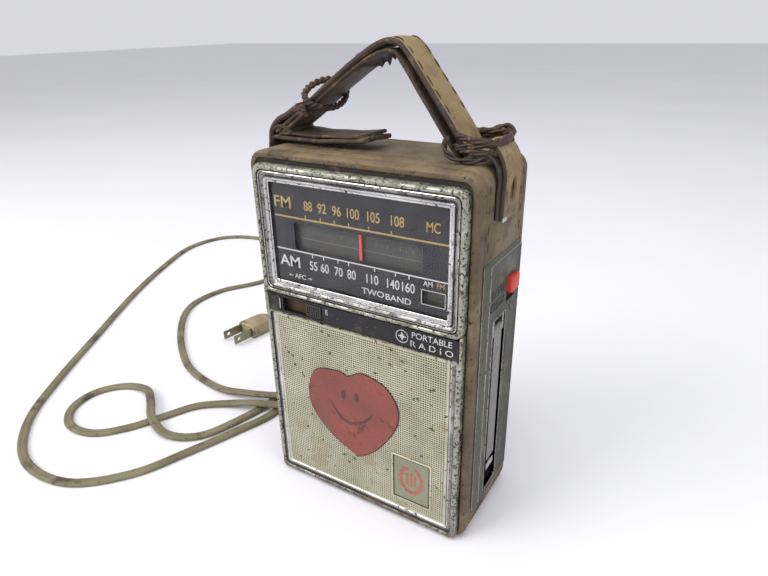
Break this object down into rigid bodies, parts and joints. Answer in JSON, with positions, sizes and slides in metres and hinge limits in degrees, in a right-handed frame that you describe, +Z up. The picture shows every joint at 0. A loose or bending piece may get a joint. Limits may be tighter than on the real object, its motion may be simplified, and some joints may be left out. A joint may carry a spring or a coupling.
{
  "type": "transistor pocket radio",
  "caption": "Upright portable radio: leather case with carrying strap, dial and grille front, side slide switch, folding flat aerial, battery door and mains lead.",
  "frame": {"origin": "centre of the base of the leather case, on the surface it stands on", "axes": "+Z up, -Y out of the dial and grille front, +X to the side with the aerial"},
  "size_m": [0.4258, 0.3485, 0.2155],
  "materials": {
    "case_leather": "worn, dusty",
    "strap_leather": "dry, cracked",
    "strap_lining": "torn suede",
    "cabinet_plastic": "moulded",
    "chrome_frame": "plated plastic, pitted",
    "clear_window": "clear, scratched",
    "dial_black": "printed",
    "dial_grey": "translucent",
    "steel": "plated",
    "pointer_red": "painted",
    "cord_string": "braided",
    "brass_parts": "turned",
    "nylon": "moulded",
    "wheel_plastic": "milled edge",
    "strip_black": "painted metal look",
    "badge_metal": "printed plate",
    "grille_metal": "perforated, tarnished",
    "sticker_red": "worn sticker",
    "badge_gold": "printed foil",
    "fibre_board": "pressed board",
    "speaker_steel": "pressed steel",
    "paper_cone": "paper",
    "magnet": "dull",
    "phenolic_board": "phenolic",
    "can_metal": "drawn",
    "component_blue": "sleeved",
    "component_black": "moulded",
    "ferrite": "sintered",
    "coil_wire": "enamelled wire",
    "transformer_iron": "varnished",
    "cell_jacket": "printed jacket",
    "panel_green_grey": "chrome edged",
    "knob_red": "moulded",
    "flag_white": "printed",
    "aerial_metal": "mottled",
    "rusty_wire": "rusted copper",
    "lead_plastic": "dirty flexible plastic",
    "grip_plastic": "moulded",
    "plug_plastic": "moulded, dirty"
  },
  "bodies": {
    "radio": {"leather_case": "case_leather", "cabinet": "cabinet_plastic", "front_bezel": "chrome_frame", "dial_window": "clear_window", "dial_plate": "dial_black", "dial_diffuser": "dial_grey", "dial_bracket": "steel", "pointer_rail": "steel", "dial_cord": "cord_string", "dial_pulley": "brass_parts", "tuning_capacitor": "nylon", "volume_control": "fibre_board", "control_strip": "strip_black", "afc_switch": "steel", "name_badge": "badge_metal", "speaker_grille": "grille_metal", "heart_sticker": "sticker_red", "corner_badge": "badge_gold", "speaker_baffle": "fibre_board", "speaker_frame": "speaker_steel", "speaker_cone": "paper_cone", "speaker_magnet": "magnet", "circuit_board": "phenolic_board", "if_transformers": "can_metal", "electrolytics": "component_blue", "transistors": "component_black", "board_posts": "brass_parts", "case_screws": "steel", "ferrite_rod": "ferrite", "ferrite_coil": "coil_wire", "power_transformer": "transformer_iron", "battery_tray": "cabinet_plastic", "batteries": "cell_jacket", "battery_contacts": "brass_parts", "door_pin": "steel", "earphone_jack": "steel", "side_panel": "panel_green_grey", "band_switch": "steel", "aerial_pivot": "steel", "strap_tabs": "strap_leather", "strap_ends": "strap_leather", "tie_wires": "rusty_wire", "power_cord": "lead_plastic", "cord_grip": "grip_plastic", "plug": "plug_plastic"},
    "tuning": {"tuning_wheel": "wheel_plastic", "tuning_shaft": "brass_parts", "tuning_drum": "nylon"},
    "pointer": {"dial_pointer": "pointer_red"},
    "volume": {"volume_wheel": "wheel_plastic"},
    "afc": {"afc_knob": "wheel_plastic"},
    "band": {"band_knob": "knob_red"},
    "flag": {"band_flag": "flag_white"},
    "strap": {"strap_outer": "strap_leather", "strap_lining": "strap_lining", "loose_ring": "rusty_wire"},
    "aerial": {"aerial_base": "aerial_metal"},
    "aerial_mid": {"aerial_middle": "aerial_metal"},
    "aerial_end": {"aerial_tip": "aerial_metal"},
    "door": {"battery_door": "cabinet_plastic"}
  },
  "joints": [
    {"name": "tuning_turn", "type": "hinge", "parent": "radio", "child": "tuning", "pos_m": [-0.0352, 0.0015, 0.138], "axis": [0, 1, 0], "range_deg": [-118, 103]},
    {"name": "pointer_slide", "type": "slide", "parent": "radio", "child": "pointer", "axis": [1, 0, 0], "range_m": [-0.031, 0.0272]},
    {"name": "volume_turn", "type": "hinge", "parent": "radio", "child": "volume", "pos_m": [-0.0432, 0.0015, 0.098], "axis": [0, 1, 0], "range_deg": [0, 270]},
    {"name": "afc_slide", "type": "slide", "parent": "radio", "child": "afc", "axis": [1, 0, 0], "range_m": [-0.013, 0]},
    {"name": "band_slide", "type": "slide", "parent": "radio", "child": "band", "axis": [0, 0, 1], "range_m": [-0.004, 0]},
    {"name": "flag_slide", "type": "slide", "parent": "radio", "child": "flag", "axis": [0, 0, 1], "range_m": [-0.004, 0]},
    {"name": "strap_swing", "type": "hinge", "parent": "radio", "child": "strap", "pos_m": [0, 0, 0.184], "axis": [1, 0, 0], "range_deg": [-35, 35]},
    {"name": "aerial_swing", "type": "hinge", "parent": "radio", "child": "aerial", "pos_m": [0.0542, -0.0014, 0.101], "axis": [0, -1, 0], "range_deg": [0, 140]},
    {"name": "aerial_mid_slide", "type": "slide", "parent": "aerial", "child": "aerial_mid", "axis": [0, 0, -1], "range_m": [0, 0.0551]},
    {"name": "aerial_end_slide", "type": "slide", "parent": "aerial_mid", "child": "aerial_end", "axis": [0, 0, -1], "range_m": [0, 0.0551]},
    {"name": "door_swing", "type": "hinge", "parent": "radio", "child": "door", "pos_m": [-0.016, 0.0267, 0.016], "axis": [-1, 0, 0], "range_deg": [0, 100]}
  ],
  "couplings": [
    {"joint": "pointer_slide", "follows": "tuning_turn", "m_per_rad": 0.015},
    {"joint": "flag_slide", "follows": "band_slide", "ratio": 1},
    {"joint": "aerial_mid_slide", "follows": "aerial_swing", "m_per_rad": 0.022509},
    {"joint": "aerial_end_slide", "follows": "aerial_swing", "m_per_rad": 0.022509}
  ]
}
